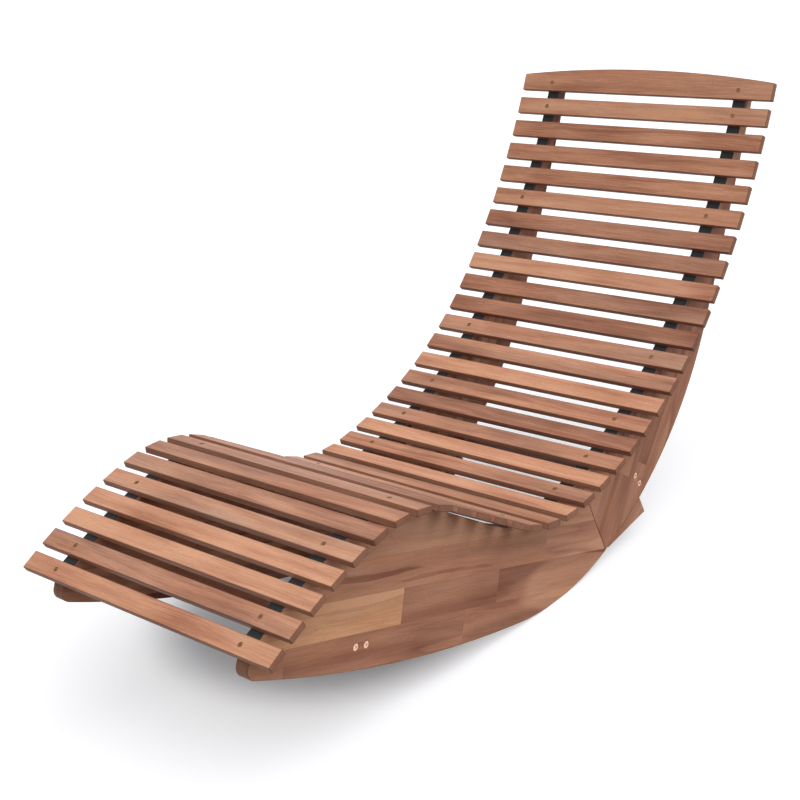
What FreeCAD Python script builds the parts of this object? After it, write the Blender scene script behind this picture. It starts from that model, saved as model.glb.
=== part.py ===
import FreeCAD, Part
import Sketcher
import math
import os

# Rocking chaise lounge: two curved side panels, a mat of slats on two webbing straps,
# two stretchers, and the screws, bolts and dowels that hold them. Millimetres, +Z up,
# X across, +Y from the foot end to the head end. The rocker's lowest point is at Z = 0.

doc = FreeCAD.newDocument("rocking_chaise_lounge")
sheet = doc.addObject("Spreadsheet::Sheet", "sizes")

SIZES = [
    # Place of the whole object along Y: this Y goes to the middle of the box
    ("middle_place", 15.3),
    # Lying curve, which the slats' top faces follow, from the first slat's centre
    ("foot_place", -713.9),
    ("foot_height", 294.6),
    ("foot_angle", 27.4),
    ("foot_radius", 963.0),
    ("foot_turn", 14.5),
    ("crest_radius", 245.6),
    ("fall_angle", 34.0),
    ("dip_radius", 250.0),
    ("seat_radius", 778.0),
    ("seat_place", -79.3),
    ("seat_height", 197.6),
    ("seat_end_angle", 44.5),
    ("head_radius", 1398.6),
    # Slats
    ("slat_count", 35),
    ("slat_pitch", 51.0),
    ("slat_length", 600.0),
    ("slat_width", 35.0),
    ("slat_thickness", 12.0),
    ("slat_rounding", 1.5),
    ("head_slat_rise", 17.0),
    # Straps
    ("strap_width", 28.0),
    ("strap_thickness", 2.0),
    ("strap_end", 12.0),
    # Side panels
    ("panel_spread", 450.0),
    ("panel_thickness", 26.0),
    ("panel_rounding", 1.5),
    ("panel_fall_angle", 35.0),
    ("panel_dip_radius", 215.0),
    ("toe_lead", 7.1),
    ("toe_radius", 18.5),
    ("toe_depth", 30.3),
    ("toe_nose_angle", 118.0),
    ("rocker_place", -3.5),
    ("rocker_flat", 56.0),
    ("rocker_rear_radius", 484.0),
    ("rocker_split_angle", 12.7),
    ("rocker_end_angle", 19.4),
    ("seam_angle", 71.4),
    ("low_edge_angle", 24.9),
    ("low_edge_length", 133.7),
    ("rear_start_angle", 30.1),
    ("rear_lower_radius", 719.0),
    ("rear_turn", 30.2),
    ("head_end", 8.0),
    ("head_end_width", 23.8),
    # Tail blocks under the back panels
    ("tail_angle", 8.7),
    ("tail_length", 136.0),
    # Stretchers and their bolts
    ("stretcher_width", 44.0),
    ("stretcher_thickness", 18.0),
    ("stretcher_rounding", 3.0),
    ("front_stretcher_place", -492.7),
    ("front_stretcher_height", 174.0),
    ("front_stretcher_angle", -19.1),
    ("rear_stretcher_place", 277.2),
    ("rear_stretcher_height", 122.2),
    ("rear_stretcher_angle", -61.0),
    ("bolt_spacing", 24.0),
    ("bolt_diameter", 6.0),
    ("bolt_grip", 44.0),
    ("bolt_head_diameter", 12.0),
    ("bolt_head_height", 4.0),
    ("bolt_socket", 5.0),
    ("bolt_sink", 5.0),
    ("barrel_nut_diameter", 10.0),
    ("barrel_nut_length", 14.0),
    ("barrel_nut_inset", 34.0),
    # Slat screws
    ("screw_diameter", 4.0),
    ("screw_head_diameter", 8.0),
    ("screw_head_height", 2.4),
    ("screw_length", 36.0),
    ("screw_recess", 3.0),
    # Dowels across the seam
    ("dowel_diameter", 12.0),
    ("dowel_length", 70.0),
    ("dowel_step", 42.0),
    # Running fits
    ("hole_clearance", 0.2),
]

# Slats that are screwed down through the straps, counted from the foot end
SCREWED_SLATS = [1, 2, 5, 8, 11, 14, 17, 19, 21, 24, 30, 34, 35]

size = {}
for row, (alias, value) in enumerate(SIZES, start=1):
    sheet.set("A%d" % row, alias.replace("_", " "))
    sheet.set("B%d" % row, str(value))
    sheet.setAlias("B%d" % row, alias)
    size[alias] = value
doc.recompute()

INNER_X = size["panel_spread"] / 2 - size["panel_thickness"] / 2
SIDES = (("left", -1), ("right", 1))


# Plane geometry of the curves, as (y, z) pairs

def unit(angle):
    turn = math.radians(angle)
    return (math.cos(turn), math.sin(turn))


def move(point, angle, distance):
    along = unit(angle)
    return (point[0] + along[0] * distance, point[1] + along[1] * distance)


def rounded_corner_on_circle(start, angle, radius, centre, big_radius):
    """Centre of the arc that is tangent to a line on its left and lies inside a circle."""
    along = unit(angle)
    across = unit(angle + 90)
    base = (start[0] + across[0] * radius - centre[0], start[1] + across[1] * radius - centre[1])
    half = base[0] * along[0] + base[1] * along[1]
    rest = base[0] ** 2 + base[1] ** 2 - (big_radius - radius) ** 2
    travel = -half + math.sqrt(half ** 2 - rest)
    return (centre[0] + base[0] + along[0] * travel, centre[1] + base[1] + along[1] * travel)


def line_meets_circle(point, angle, centre, radius):
    """Nearest place ahead of the point where its line crosses the circle."""
    along = unit(angle)
    base = (point[0] - centre[0], point[1] - centre[1])
    half = base[0] * along[0] + base[1] * along[1]
    root = math.sqrt(half ** 2 - (base[0] ** 2 + base[1] ** 2 - radius ** 2))
    travel = min(value for value in (-half - root, -half + root) if value > 0)
    return move(point, angle, travel)


class Stretch:
    """One arc or line of a curve: bend is +1 for a left turn, -1 for a right turn, 0 for a line."""

    def __init__(self, bend, centre, radius, first_angle, last_angle, start=None, length=0.0):
        self.bend = bend
        self.centre = centre
        self.radius = radius
        self.first_angle = first_angle
        self.last_angle = last_angle
        self.start = start
        if bend:
            length = radius * math.radians(abs(last_angle - first_angle))
        self.length = length

    def offset(self, depth):
        """The same stretch, moved to its right by the depth."""
        if self.bend == 0:
            start = move(self.start, self.first_angle - 90, depth)
            return Stretch(0, None, 0.0, self.first_angle, self.last_angle, start, self.length)
        radius = self.radius + self.bend * depth
        return Stretch(self.bend, self.centre, radius, self.first_angle, self.last_angle)

    def at_angle(self, angle):
        return move(self.centre, angle - 90 * self.bend, self.radius)

    def at(self, distance):
        """Place and direction after a distance from the stretch's start."""
        if self.bend == 0:
            return move(self.start, self.first_angle, distance), self.first_angle
        angle = self.first_angle + self.bend * math.degrees(distance / self.radius)
        return self.at_angle(angle), angle

    def ends(self):
        return self.at(0)[0], self.at(self.length)[0]

    def trimmed(self, first=None, last=None):
        """The arc between two of its directions."""
        first = self.first_angle if first is None else first
        last = self.last_angle if last is None else last
        return Stretch(self.bend, self.centre, self.radius, first, last)


def arc_to_point(start, angle, end):
    """Arc that leaves the start in a direction and ends at a point."""
    chord = (end[0] - start[0], end[1] - start[1])
    half_turn = math.degrees(math.atan2(chord[1], chord[0])) - angle
    bend = 1 if half_turn > 0 else -1
    radius = math.hypot(*chord) / 2 / math.sin(math.radians(abs(half_turn)))
    centre = move(start, angle + 90 * bend, radius)
    return Stretch(bend, centre, radius, angle, angle + 2 * half_turn)


def radius_between(start, angle, circle_centre, circle_radius):
    """Radius of the left-turning arc that passes the start in a direction and holds a circle in touch."""
    across = unit(angle + 90)
    away = (circle_centre[0] - start[0], circle_centre[1] - start[1])
    height = away[0] * across[0] + away[1] * across[1]
    return (math.hypot(*away) ** 2 - circle_radius ** 2) / 2 / (height - circle_radius)


def lying_curve(fall_angle, dip_radius, reach):
    """Tangent arcs from the foot to the head. The fall and the dip's radius can differ."""
    start = (size["foot_place"], size["foot_height"])
    foot_centre = move(start, size["foot_angle"] - 90, size["foot_radius"])
    rise_angle = size["foot_angle"] - size["foot_turn"]
    foot = Stretch(-1, foot_centre, size["foot_radius"], size["foot_angle"], rise_angle)
    crest_centre = move(foot.ends()[1], rise_angle - 90, size["crest_radius"])
    crest = Stretch(-1, crest_centre, size["crest_radius"], rise_angle, -fall_angle)
    seat_centre = (size["seat_place"], size["seat_height"] + size["seat_radius"])
    fall_start = crest.ends()[1]
    dip_centre = rounded_corner_on_circle(fall_start, -fall_angle, dip_radius,
                                          seat_centre, size["seat_radius"])
    dip_start = move(dip_centre, -fall_angle - 90, dip_radius)
    fall = Stretch(0, None, 0.0, -fall_angle, -fall_angle, fall_start, math.dist(fall_start, dip_start))
    away = (dip_centre[0] - seat_centre[0], dip_centre[1] - seat_centre[1])
    dip_end_angle = math.degrees(math.atan2(away[0], -away[1]))
    dip = Stretch(1, dip_centre, dip_radius, -fall_angle, dip_end_angle)
    seat = Stretch(1, seat_centre, size["seat_radius"], dip_end_angle, size["seat_end_angle"])
    head_centre = move(seat.ends()[1], size["seat_end_angle"] + 90, size["head_radius"])
    before = sum(piece.length for piece in (foot, crest, fall, dip, seat))
    head_turn = math.degrees((reach - before) / size["head_radius"])
    head_end_angle = size["seat_end_angle"] + head_turn
    head = Stretch(1, head_centre, size["head_radius"], size["seat_end_angle"], head_end_angle)
    return [foot, crest, fall, dip, seat, head]


def along_curve(curve, distance):
    for piece in curve[:-1]:
        if distance <= piece.length:
            return piece.at(distance)
        distance -= piece.length
    return curve[-1].at(distance)


MAT_REACH = (size["slat_count"] - 1) * size["slat_pitch"]
PANEL_DEPTH = size["slat_thickness"] + size["strap_thickness"]
mat_curve = lying_curve(size["fall_angle"], size["dip_radius"], MAT_REACH)
edge_curve = [piece.offset(PANEL_DEPTH) for piece in
              lying_curve(size["panel_fall_angle"], size["panel_dip_radius"], MAT_REACH)]
slat_places = [along_curve(mat_curve, index * size["slat_pitch"]) for index in range(size["slat_count"])]


# Documents and sketches

def plane_of(body, role):
    return next(item for item in body.Origin.OriginFeatures if item.Role == role)


def new_sketch(body, role, name):
    sketch = body.newObject("Sketcher::SketchObject", name)
    sketch.AttachmentSupport = [(plane_of(body, role), "")]
    sketch.MapMode = "FlatFace"
    return sketch


def bind_constraint(sketch, index, name, expression):
    sketch.renameConstraint(index, name)
    sketch.setExpression("Constraints." + name, expression)


def draw_outline(sketch, outline):
    """Draws a closed outline. Each entry is a line (start, end) or an arc's Stretch, in order.

    An arc may carry the formula of its radius, which then drives the sketch.
    """
    ends = []
    for entry, formula, backward in outline:
        if isinstance(entry, Stretch):
            first, last = entry.first_angle - 90 * entry.bend, entry.last_angle - 90 * entry.bend
            if entry.bend < 0:
                first, last = last, first
            centre = FreeCAD.Vector(entry.centre[0], entry.centre[1], 0)
            circle = Part.Circle(centre, FreeCAD.Vector(0, 0, 1), entry.radius)
            arc = Part.ArcOfCircle(circle, math.radians(first), math.radians(last))
            number = sketch.addGeometry(arc, False)
            if formula:
                index = sketch.addConstraint(Sketcher.Constraint("Radius", number, entry.radius))
                bind_constraint(sketch, index, "radius_%d" % number, formula)
            starts_first = (entry.bend > 0) != backward
            ends.append((number, 1, 2) if starts_first else (number, 2, 1))
        else:
            start, end = (FreeCAD.Vector(point[0], point[1], 0) for point in entry)
            number = sketch.addGeometry(Part.LineSegment(start, end), False)
            ends.append((number, 1, 2))
    for place, (number, start, end) in enumerate(ends):
        following = ends[(place + 1) % len(ends)]
        sketch.addConstraint(Sketcher.Constraint("Coincident", number, end, following[0], following[1]))


def pad(body, sketch, name, formula):
    feature = body.newObject("PartDesign::Pad", name)
    feature.Profile = sketch
    feature.setExpression("Length", formula)
    return feature


def ease_edges(body, feature, formula):
    """Rounds every edge of a wooden piece, as sanding does."""
    doc.recompute()
    rounding = body.newObject("PartDesign::Fillet", "rounding_" + body.Name)
    rounding.Base = (feature, ["Edge%d" % (index + 1) for index in range(len(feature.Shape.Edges))])
    rounding.setExpression("Radius", formula)


nodes = []


def keep(item, label):
    item.Label = label
    nodes.append(item)
    return item


def new_body(label):
    return keep(doc.addObject("PartDesign::Body", "body_" + label), label)


def blank_body(label):
    """A body that is drilled later, so it isn't a node itself."""
    body = doc.addObject("PartDesign::Body", "body_" + label)
    body.Label = label + "_blank"
    return body


def shift_to_middle(item, x_formula):
    item.setExpression("Placement.Base.x", x_formula)
    item.setExpression("Placement.Base.y", "-sizes.middle_place")


def panel_x(side):
    """Lower X face of a side panel, as a formula."""
    if side > 0:
        return "sizes.panel_spread / 2 - sizes.panel_thickness / 2"
    return "-sizes.panel_spread / 2 - sizes.panel_thickness / 2"


def in_space(x, place):
    return FreeCAD.Vector(x, place[0] - size["middle_place"], place[1])


def drill(name, start, direction, radius_formula, height_formula):
    cylinder = doc.addObject("Part::Cylinder", name)
    cylinder.setExpression("Radius", radius_formula)
    cylinder.setExpression("Height", height_formula)
    turn = FreeCAD.Rotation(FreeCAD.Vector(0, 0, 1), direction)
    cylinder.Placement = FreeCAD.Placement(start, turn)
    return cylinder


def drilled(label, blank, drills):
    """The blank with the drills taken out. Drills can serve more than one piece."""
    tools = doc.addObject("Part::Compound", "drills_" + label)
    tools.Links = drills
    cut = doc.addObject("Part::Cut", "cut_" + label)
    cut.Base = blank
    cut.Tool = tools
    return keep(cut, label)


def copies(label, master, placements):
    """One node with the same piece at several places."""
    links = []
    for number, placement in enumerate(placements, start=1):
        link = doc.addObject("App::Link", "%s_%d" % (label, number))
        link.LinkedObject = master
        link.Placement = placement
        links.append(link)
    group = doc.addObject("Part::Compound", "group_" + label)
    group.Links = links
    return keep(group, label)


# Slats

def make_slat(number):
    """A slat lies with its top face on the lying curve. Local X runs along it, Z is up from its face."""
    is_head = number == size["slat_count"]
    body = new_body("slat_%02d" % number)
    sketch = new_sketch(body, "XY_Plane", "face_%02d" % number)
    half_length = size["slat_length"] / 2
    half_width = size["slat_width"] / 2
    corners = [(-half_length, -half_width), (half_length, -half_width), (half_length, half_width),
               (-half_length, half_width)]
    points = [FreeCAD.Vector(x, y, 0) for x, y in corners]
    sketch.addGeometry(Part.LineSegment(points[0], points[1]), False)
    sketch.addGeometry(Part.LineSegment(points[1], points[2]), False)
    sketch.addGeometry(Part.LineSegment(points[3], points[0]), False)
    if is_head:
        rise = size["head_slat_rise"]
        arch_radius = (half_length ** 2 + rise ** 2) / (2 * rise)
        spread = math.asin(half_length / arch_radius)
        centre = FreeCAD.Vector(0, half_width + rise - arch_radius, 0)
        circle = Part.Circle(centre, FreeCAD.Vector(0, 0, 1), arch_radius)
        arc = Part.ArcOfCircle(circle, math.pi / 2 - spread, math.pi / 2 + spread)
        sketch.addGeometry(arc, False)
        index = sketch.addConstraint(Sketcher.Constraint("Radius", 3, arch_radius))
        formula = "((sizes.slat_length / 2)^2 + sizes.head_slat_rise^2) / (2 * sizes.head_slat_rise)"
        bind_constraint(sketch, index, "arch_radius", formula)
    else:
        sketch.addGeometry(Part.LineSegment(points[2], points[3]), False)
        sketch.addConstraint(Sketcher.Constraint("Horizontal", 3))
    sketch.addConstraint(Sketcher.Constraint("Coincident", 0, 2, 1, 1))
    sketch.addConstraint(Sketcher.Constraint("Coincident", 1, 2, 3, 1))
    sketch.addConstraint(Sketcher.Constraint("Coincident", 3, 2, 2, 1))
    sketch.addConstraint(Sketcher.Constraint("Coincident", 2, 2, 0, 1))
    sketch.addConstraint(Sketcher.Constraint("Horizontal", 0))
    sketch.addConstraint(Sketcher.Constraint("Vertical", 1))
    sketch.addConstraint(Sketcher.Constraint("Vertical", 2))
    length = sketch.addConstraint(Sketcher.Constraint("DistanceX", 0, 1, 0, 2, size["slat_length"]))
    bind_constraint(sketch, length, "slat_length", "sizes.slat_length")
    width = sketch.addConstraint(Sketcher.Constraint("DistanceY", 1, 1, 1, 2, size["slat_width"]))
    bind_constraint(sketch, width, "slat_width", "sizes.slat_width")
    left = sketch.addConstraint(Sketcher.Constraint("DistanceX", 0, 1, -1, 1, half_length))
    bind_constraint(sketch, left, "half_length", "sizes.slat_length / 2")
    below = sketch.addConstraint(Sketcher.Constraint("DistanceY", 0, 1, -1, 1, half_width))
    bind_constraint(sketch, below, "half_width", "sizes.slat_width / 2")
    board = pad(body, sketch, "board_%02d" % number, "sizes.slat_thickness")
    board.Reversed = True
    ease_edges(body, board, "sizes.slat_rounding")
    if number in SCREWED_SLATS:
        for name, side in SIDES:
            x_formula = "sizes.panel_spread / 2 * %d" % side
            hole = body.newObject("PartDesign::SubtractiveCylinder", "hole_%s_%02d" % (name, number))
            hole.setExpression("Radius", "sizes.screw_diameter / 2 + sizes.hole_clearance")
            hole.setExpression("Height", "sizes.slat_thickness")
            hole.setExpression("Placement.Base.x", x_formula)
            hole.setExpression("Placement.Base.z", "-sizes.slat_thickness")
            sink = body.newObject("PartDesign::SubtractiveCone", "sink_%s_%02d" % (name, number))
            sink.setExpression("Radius1", "sizes.screw_diameter / 2 + sizes.hole_clearance")
            sink.setExpression("Radius2", "sizes.screw_head_diameter / 2 + sizes.hole_clearance")
            sink.setExpression("Height", "sizes.screw_head_height")
            sink.setExpression("Placement.Base.x", x_formula)
            sink.setExpression("Placement.Base.z", "-sizes.screw_head_height")
    place, angle = slat_places[number - 1]
    turn = FreeCAD.Rotation(FreeCAD.Vector(1, 0, 0), angle)
    body.Placement = FreeCAD.Placement(in_space(0, place), turn)


for number in range(1, size["slat_count"] + 1):
    make_slat(number)


# Slat screws: one master, placed in each drilled slat over both side panels

screw = doc.addObject("PartDesign::Body", "screw_master")
screw_head = screw.newObject("PartDesign::AdditiveCone", "screw_head")
screw_head.setExpression("Radius1", "sizes.screw_diameter / 2")
screw_head.setExpression("Radius2", "sizes.screw_head_diameter / 2")
screw_head.setExpression("Height", "sizes.screw_head_height")
screw_head.setExpression("Placement.Base.z", "-sizes.screw_head_height")
screw_shank = screw.newObject("PartDesign::AdditiveCylinder", "screw_shank")
screw_shank.setExpression("Radius", "sizes.screw_diameter / 2")
screw_shank.setExpression("Height", "sizes.screw_length - sizes.screw_head_height - sizes.screw_diameter")
screw_shank.setExpression("Placement.Base.z", "sizes.screw_diameter - sizes.screw_length")
screw_tip = screw.newObject("PartDesign::AdditiveCone", "screw_tip")
screw_tip.setExpression("Radius1", "sizes.screw_diameter / 10")
screw_tip.setExpression("Radius2", "sizes.screw_diameter / 2")
screw_tip.setExpression("Height", "sizes.screw_diameter")
screw_tip.setExpression("Placement.Base.z", "-sizes.screw_length")
screw_recess = screw.newObject("PartDesign::SubtractivePrism", "screw_recess")
screw_recess.Polygon = 6
screw_recess.setExpression("Circumradius", "sizes.screw_recess / 2")
screw_recess.setExpression("Height", "sizes.screw_head_height * 0.7")
screw_recess.setExpression("Placement.Base.z", "-sizes.screw_head_height * 0.7")

screw_placements = []
screw_drills = {"left": [], "right": []}
for number in SCREWED_SLATS:
    place, angle = slat_places[number - 1]
    turn = FreeCAD.Rotation(FreeCAD.Vector(1, 0, 0), angle)
    into_panel = turn.multVec(FreeCAD.Vector(0, 0, -1))
    for name, side in SIDES:
        start = in_space(side * size["panel_spread"] / 2, place)
        screw_placements.append(FreeCAD.Placement(start, turn))
        screw_drills[name].append(drill("screw_drill_%s_%02d" % (name, number), start, into_panel,
                                        "sizes.screw_diameter / 2 + sizes.hole_clearance",
                                        "sizes.screw_length + sizes.hole_clearance"))
copies("slat_screws", screw, screw_placements)


# Outline of the side panels

def heading_on(circle_centre, point):
    """Direction of a left-turning arc where it passes the point."""
    return math.degrees(math.atan2(point[0] - circle_centre[0], circle_centre[1] - point[1]))


foot_edge, crest_edge, fall_edge, dip_edge, seat_edge, head_edge = edge_curve

# The rear rocker has a short flat at its lowest place, under the centre of mass
rocker_radius = size["rocker_rear_radius"]
flat_angle = math.degrees(math.asin(size["rocker_flat"] / 2 / rocker_radius))
rocker_centre = (size["rocker_place"], rocker_radius * math.cos(math.radians(flat_angle)))
rocker_behind = Stretch(1, rocker_centre, rocker_radius, flat_angle, size["rocker_end_angle"])
rocker_ahead = Stretch(1, rocker_centre, rocker_radius, -size["rocker_split_angle"], -flat_angle)
rocker_split = rocker_ahead.ends()[0]

# The toe's nose hangs at a depth under the foot edge, ahead of the first slat
toe_centre_y = size["foot_place"] - size["toe_lead"] + size["toe_radius"]
toe_reach = foot_edge.radius - size["toe_depth"]
toe_rise = math.sqrt(toe_reach ** 2 - (toe_centre_y - foot_edge.centre[0]) ** 2)
toe_centre = (toe_centre_y, foot_edge.centre[1] + toe_rise)

# The front rocker leaves the rear one smoothly and ends tangent to the nose
split_heading = -size["rocker_split_angle"]
front_rocker_radius = radius_between(rocker_split, split_heading, toe_centre, size["toe_radius"])
front_rocker_centre = move(rocker_split, split_heading + 90, front_rocker_radius)
toe_end_heading = heading_on(front_rocker_centre, toe_centre)
front_rocker = Stretch(1, front_rocker_centre, front_rocker_radius, toe_end_heading, split_heading)
toe = Stretch(1, toe_centre, size["toe_radius"], -size["toe_nose_angle"], toe_end_heading)
toe_top = line_meets_circle(toe.ends()[0], 180 - size["toe_nose_angle"], foot_edge.centre, foot_edge.radius)
toe_from_centre = (toe_top[0] - foot_edge.centre[0], toe_top[1] - foot_edge.centre[1])
toe_heading = math.degrees(math.atan2(toe_from_centre[1], toe_from_centre[0])) - 90

seam_bottom = rocker_behind.ends()[1]
seam_top = line_meets_circle(seam_bottom, 180 - size["seam_angle"], seat_edge.centre, seat_edge.radius)
seam_heading = heading_on(seat_edge.centre, seam_top)

low_edge_end = move(seam_bottom, size["low_edge_angle"], size["low_edge_length"])
rear_lower_centre = move(low_edge_end, size["rear_start_angle"] + 90, size["rear_lower_radius"])
rear_bend_angle = size["rear_start_angle"] + size["rear_turn"]
rear_lower = Stretch(1, rear_lower_centre, size["rear_lower_radius"],
                     size["rear_start_angle"], rear_bend_angle)
head_end_angle = head_edge.last_angle + math.degrees(size["head_end"] / size["head_radius"])
head_front = head_edge.at_angle(head_end_angle)
head_rear = move(head_front, head_end_angle - 90, size["head_end_width"])
rear_upper = arc_to_point(rear_lower.ends()[1], rear_bend_angle, head_rear)

DEPTH_FORMULA = "(sizes.slat_thickness + sizes.strap_thickness)"
SEAT_FORMULA = "sizes.seat_radius + " + DEPTH_FORMULA
BASE_OUTLINE = [
    (foot_edge.trimmed(first=toe_heading), "sizes.foot_radius - " + DEPTH_FORMULA, False),
    (crest_edge, "sizes.crest_radius - " + DEPTH_FORMULA, False),
    (fall_edge.ends(), None, False),
    (dip_edge, "sizes.panel_dip_radius + " + DEPTH_FORMULA, False),
    (seat_edge.trimmed(last=seam_heading), SEAT_FORMULA, False),
    ((seam_top, seam_bottom), None, False),
    (rocker_behind, "sizes.rocker_rear_radius", True),
    ((rocker_behind.ends()[0], rocker_ahead.ends()[1]), None, False),
    (rocker_ahead, "sizes.rocker_rear_radius", True),
    (front_rocker, None, True),
    (toe, "sizes.toe_radius", True),
    ((toe.ends()[0], toe_top), None, False),
]
BACK_OUTLINE = [
    (seat_edge.trimmed(first=seam_heading), SEAT_FORMULA, False),
    (head_edge.trimmed(last=head_end_angle), "sizes.head_radius + " + DEPTH_FORMULA, False),
    ((head_front, head_rear), None, False),
    (rear_upper, None, True),
    (rear_lower, "sizes.rear_lower_radius", True),
    ((low_edge_end, seam_bottom), None, False),
    ((seam_bottom, seam_top), None, False),
]
tail_tip = move(seam_bottom, size["tail_angle"], size["tail_length"])
TAIL_OUTLINE = [
    ((seam_bottom, tail_tip), None, False),
    ((tail_tip, low_edge_end), None, False),
    ((low_edge_end, seam_bottom), None, False),
]


def make_plate(body, outline, x_formula, thickness_formula):
    """A flat piece that stands in a YZ plane and is padded along X."""
    sketch = new_sketch(body, "YZ_Plane", "outline_" + body.Name)
    draw_outline(sketch, outline)
    plate = pad(body, sketch, "plate_" + body.Name, thickness_formula)
    shift_to_middle(body, x_formula)
    return plate


# Stretchers with their bolts and barrel nuts

STRETCHERS = (
    ("front", (size["front_stretcher_place"], size["front_stretcher_height"]), size["front_stretcher_angle"]),
    ("rear", (size["rear_stretcher_place"], size["rear_stretcher_height"]), size["rear_stretcher_angle"]),
)
bolt_placements = []
nut_placements = []
bolt_drills = {"left": [], "right": []}
outer_x = size["panel_spread"] / 2 + size["panel_thickness"] / 2
head_seat_x = outer_x - size["bolt_sink"]
nut_x = INNER_X - size["barrel_nut_inset"]


def make_stretcher(name, middle, angle):
    """A bar between the side panels, with a rounded section that leans by the angle."""
    blank = blank_body(name + "_stretcher")
    sketch = new_sketch(blank, "YZ_Plane", "section_" + name)
    half_width, half_thickness = size["stretcher_width"] / 2, size["stretcher_thickness"] / 2
    corners = [(-half_width, -half_thickness), (half_width, -half_thickness),
               (half_width, half_thickness), (-half_width, half_thickness)]
    points = [FreeCAD.Vector(y, z, 0) for y, z in corners]
    for number in range(4):
        sketch.addGeometry(Part.LineSegment(points[number], points[(number + 1) % 4]), False)
    for number in range(4):
        sketch.addConstraint(Sketcher.Constraint("Coincident", number, 2, (number + 1) % 4, 1))
        sketch.addConstraint(Sketcher.Constraint("Vertical" if number % 2 else "Horizontal", number))
    width = sketch.addConstraint(Sketcher.Constraint("DistanceX", 0, 1, 0, 2, size["stretcher_width"]))
    bind_constraint(sketch, width, "bar_width", "sizes.stretcher_width")
    thickness = size["stretcher_thickness"]
    depth = sketch.addConstraint(Sketcher.Constraint("DistanceY", 1, 1, 1, 2, thickness))
    bind_constraint(sketch, depth, "bar_thickness", "sizes.stretcher_thickness")
    sketch.addConstraint(Sketcher.Constraint("Symmetric", 0, 1, 1, 2, -1, 1))
    bar = pad(blank, sketch, "bar_" + name, "sizes.panel_spread - sizes.panel_thickness")
    bar.Midplane = True
    doc.recompute()
    long_edges = ["Edge%d" % (index + 1) for index, edge in enumerate(bar.Shape.Edges)
                  if edge.Length > size["panel_spread"] / 2]
    rounding = blank.newObject("PartDesign::Fillet", "bar_rounding_" + name)
    rounding.Base = (bar, long_edges)
    rounding.setExpression("Radius", "sizes.stretcher_rounding")
    nut_turn = FreeCAD.Rotation(FreeCAD.Vector(1, 0, 0), angle)
    blank.Placement = FreeCAD.Placement(in_space(0, middle), nut_turn)
    drills = []
    up = nut_turn.multVec(FreeCAD.Vector(0, 0, 1))
    for bolt_number, shift in ((1, -0.5), (2, 0.5)):
        place = move(middle, angle, shift * size["bolt_spacing"])
        for side_name, side in SIDES:
            tag = "%s_%s_%d" % (name, side_name, bolt_number)
            inward = FreeCAD.Vector(-side, 0, 0)
            seat = in_space(side * head_seat_x, place)
            outside = in_space(side * outer_x, place)
            bolt_turn = FreeCAD.Rotation(FreeCAD.Vector(0, 0, -1), inward)
            bolt_placements.append(FreeCAD.Placement(seat, bolt_turn))
            shank_drill = drill("bolt_drill_" + tag, seat, inward,
                                "sizes.bolt_diameter / 2 + sizes.hole_clearance",
                                "sizes.bolt_grip + sizes.barrel_nut_diameter + sizes.bolt_sink")
            head_drill = drill("bolt_sink_" + tag, outside, inward,
                               "sizes.bolt_head_diameter / 2 + 2 * sizes.hole_clearance", "sizes.bolt_sink")
            bolt_drills[side_name] += [shank_drill, head_drill]
            nut_place = in_space(side * nut_x, place)
            nut_start = nut_place - up * (size["stretcher_thickness"] / 2)
            nut_placements.append(FreeCAD.Placement(nut_start, nut_turn))
            nut_drill = drill("nut_drill_" + tag, nut_start, up,
                              "sizes.barrel_nut_diameter / 2 + sizes.hole_clearance",
                              "sizes.barrel_nut_length + sizes.hole_clearance")
            drills += [shank_drill, nut_drill]
    drilled(name + "_stretcher", blank, drills)


for name, middle, angle in STRETCHERS:
    make_stretcher(name, middle, angle)

bolt = doc.addObject("PartDesign::Body", "bolt_master")
bolt_head = bolt.newObject("PartDesign::AdditiveCylinder", "bolt_head")
bolt_head.setExpression("Radius", "sizes.bolt_head_diameter / 2")
bolt_head.setExpression("Height", "sizes.bolt_head_height")
bolt_shank = bolt.newObject("PartDesign::AdditiveCylinder", "bolt_shank")
bolt_shank.setExpression("Radius", "sizes.bolt_diameter / 2")
bolt_shank.setExpression("Height", "sizes.bolt_grip + sizes.barrel_nut_diameter")
bolt_shank.setExpression("Placement.Base.z", "-sizes.bolt_grip - sizes.barrel_nut_diameter")
bolt_socket = bolt.newObject("PartDesign::SubtractivePrism", "bolt_socket")
bolt_socket.Polygon = 6
bolt_socket.setExpression("Circumradius", "sizes.bolt_socket / 2 / cos(30)")
bolt_socket.setExpression("Height", "sizes.bolt_head_height * 0.7")
bolt_socket.setExpression("Placement.Base.z", "sizes.bolt_head_height * 0.3")
copies("stretcher_bolts", bolt, bolt_placements)

nut = doc.addObject("PartDesign::Body", "nut_master")
nut_barrel = nut.newObject("PartDesign::AdditiveCylinder", "nut_barrel")
nut_barrel.setExpression("Radius", "sizes.barrel_nut_diameter / 2")
nut_barrel.setExpression("Height", "sizes.barrel_nut_length")
nut_bore = nut.newObject("PartDesign::SubtractiveCylinder", "nut_bore")
nut_bore.setExpression("Radius", "sizes.bolt_diameter / 2 + sizes.hole_clearance / 2")
nut_bore.setExpression("Height", "2 * sizes.barrel_nut_diameter")
nut_bore.setExpression("Placement.Base.x", "-sizes.barrel_nut_diameter")
nut_bore.setExpression("Placement.Base.z", "sizes.stretcher_thickness / 2")
nut_bore.Placement.Rotation = FreeCAD.Rotation(FreeCAD.Vector(0, 1, 0), 90)
copies("barrel_nuts", nut, nut_placements)


# Dowels across the seam of each side

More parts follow.
